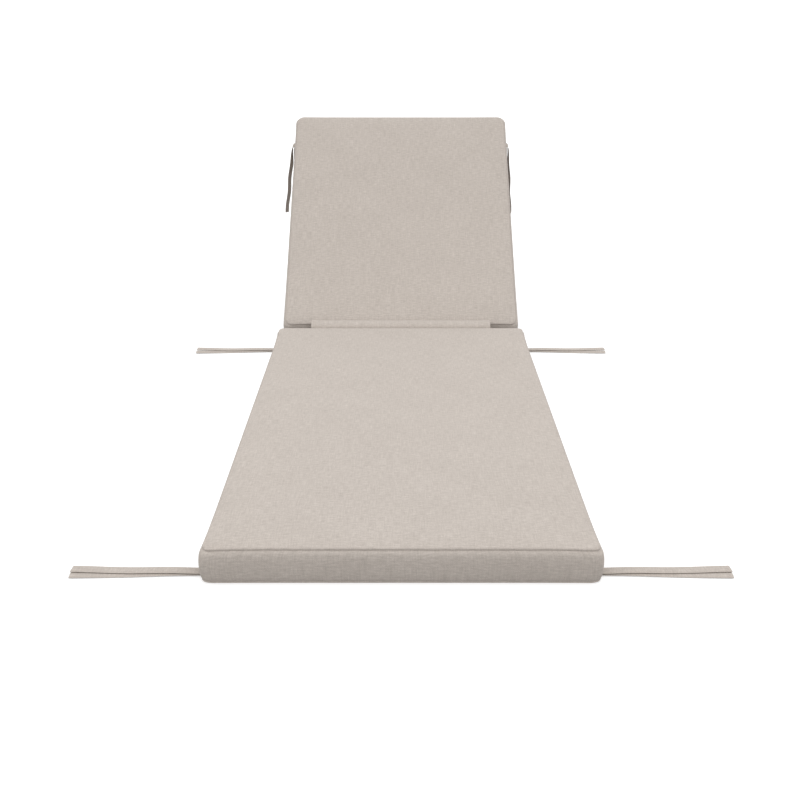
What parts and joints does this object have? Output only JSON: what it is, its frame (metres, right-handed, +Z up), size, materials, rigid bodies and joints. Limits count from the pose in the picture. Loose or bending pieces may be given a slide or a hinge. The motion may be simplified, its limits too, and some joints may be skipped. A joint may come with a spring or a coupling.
{
  "type": "sun lounger cushion",
  "caption": "Hinged box cushion for a sun lounger: a long seat section and a raised back section, joined by a cloth flap, with flat ties at the edges.",
  "frame": {"origin": "middle of the seat section's flat underside", "axes": "X across the cushion, to the right when it is seen from the foot; Y from the foot to the head; Z up"},
  "size_m": [0.9354, 1.7515, 0.4702],
  "materials": {
    "fabric": "heathered beige plain weave, matt"
  },
  "bodies": {
    "root": {"seat_cushion": "fabric", "back_cushion": "fabric", "hinge_flap": "fabric", "tie_foot_left_a": "fabric", "tie_foot_left_b": "fabric", "tie_foot_right_a": "fabric", "tie_foot_right_b": "fabric", "tie_hinge_left_a": "fabric", "tie_hinge_left_b": "fabric", "tie_hinge_right_a": "fabric", "tie_hinge_right_b": "fabric", "tie_back_left_a": "fabric", "tie_back_left_b": "fabric", "tie_back_right_a": "fabric", "tie_back_right_b": "fabric"}
  },
  "joints": []
}
